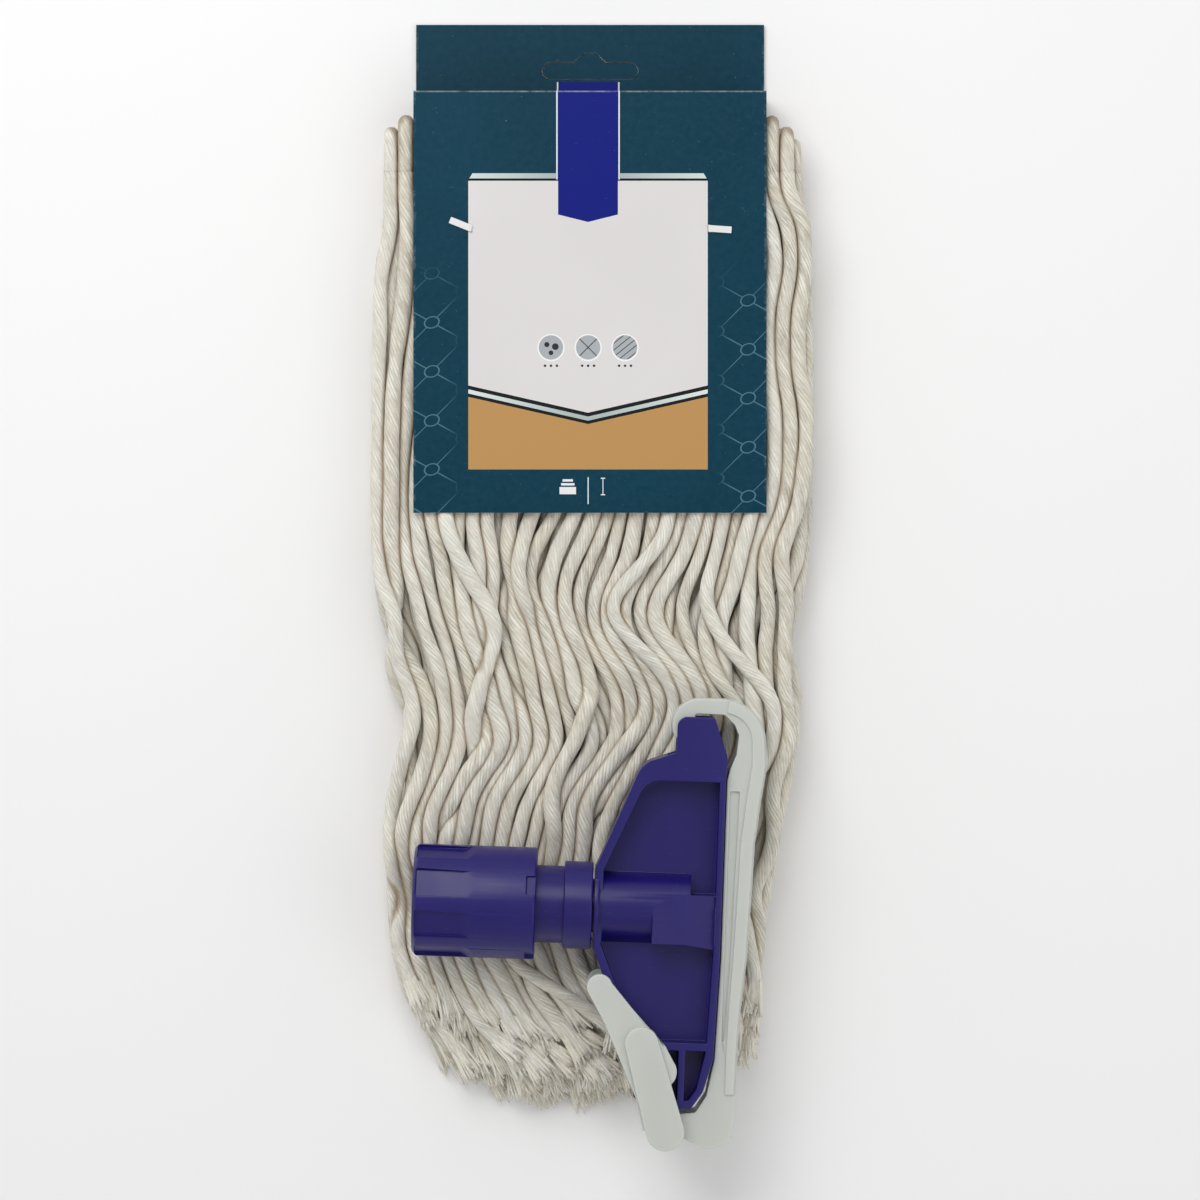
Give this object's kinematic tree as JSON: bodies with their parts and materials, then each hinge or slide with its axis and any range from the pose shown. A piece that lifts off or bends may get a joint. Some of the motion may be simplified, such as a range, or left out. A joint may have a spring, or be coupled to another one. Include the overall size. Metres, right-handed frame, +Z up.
{
  "type": "string mop",
  "caption": "Folded cotton string mop head on a hanging card, with a plastic clip holder, hinged gate, latch and screw collar.",
  "frame": {"origin": "middle of the whole footprint, on the floor that the head lies on", "axes": "+X across the head, +Y along the strands towards the hanging tab, +Z up from the floor"},
  "size_m": [0.1738, 0.4364, 0.0643],
  "materials": {
    "yarn": "matt cotton twist",
    "tape": "woven tape",
    "card": "printed card, satin",
    "strap": "satin",
    "frame_plastic": "moulded, satin gloss",
    "gate_plastic": "milky, slightly clear",
    "ring_plastic": "plain moulded",
    "steel": "ground pin"
  },
  "bodies": {
    "head": {"head_band": "tape", "band_stitching": "tape", "yarn_fold": "yarn", "yarn_layer_1": "yarn", "yarn_layer_2": "yarn", "yarn_layer_3": "yarn", "yarn_layer_4": "yarn", "yarn_layer_5": "yarn", "header_card": "card", "tie_strap": "strap"},
    "flap": {"slot_flap": "card"},
    "holder": {"clip_frame": "frame_plastic", "socket_sleeve": "frame_plastic", "gate_pin": "steel"},
    "clamp": {"clamp_ring": "ring_plastic"},
    "collar": {"collar_nut": "frame_plastic"},
    "gate": {"gate": "gate_plastic"},
    "latch": {"latch_lever": "gate_plastic", "lever_pin": "steel"}
  },
  "joints": [
    {"name": "holder_lift", "type": "slide", "parent": "head", "child": "holder", "axis": [0, 0, 1], "range_m": [0, 0.12]},
    {"name": "collar_turn", "type": "hinge", "parent": "clamp", "child": "collar", "pos_m": [-0.03858, -0.1242, 0.0428], "axis": [0.9994, -0.0349, 0], "range_deg": [-360, 0]},
    {"name": "clamp_slide", "type": "slide", "parent": "holder", "child": "clamp", "axis": [0.9994, -0.0349, 0], "range_m": [-0.0041, 0]},
    {"name": "gate_swing", "type": "hinge", "parent": "holder", "child": "gate", "pos_m": [0.04087, -0.06114, 0.0428], "axis": [0, 0, 1], "range_deg": [0, 75]},
    {"name": "latch_swing", "type": "hinge", "parent": "gate", "child": "latch", "pos_m": [0.02774, -0.21087, 0.0428], "axis": [0, 0, 1], "range_deg": [0, 90]},
    {"name": "flap_fold", "type": "hinge", "parent": "head", "child": "flap", "pos_m": [-0.001, 0.1969, 0.0018], "axis": [1, 0, 0], "range_deg": [0, 85]}
  ],
  "couplings": [
    {"joint": "clamp_slide", "follows": "collar_turn", "m_per_rad": 0.00063662}
  ]
}
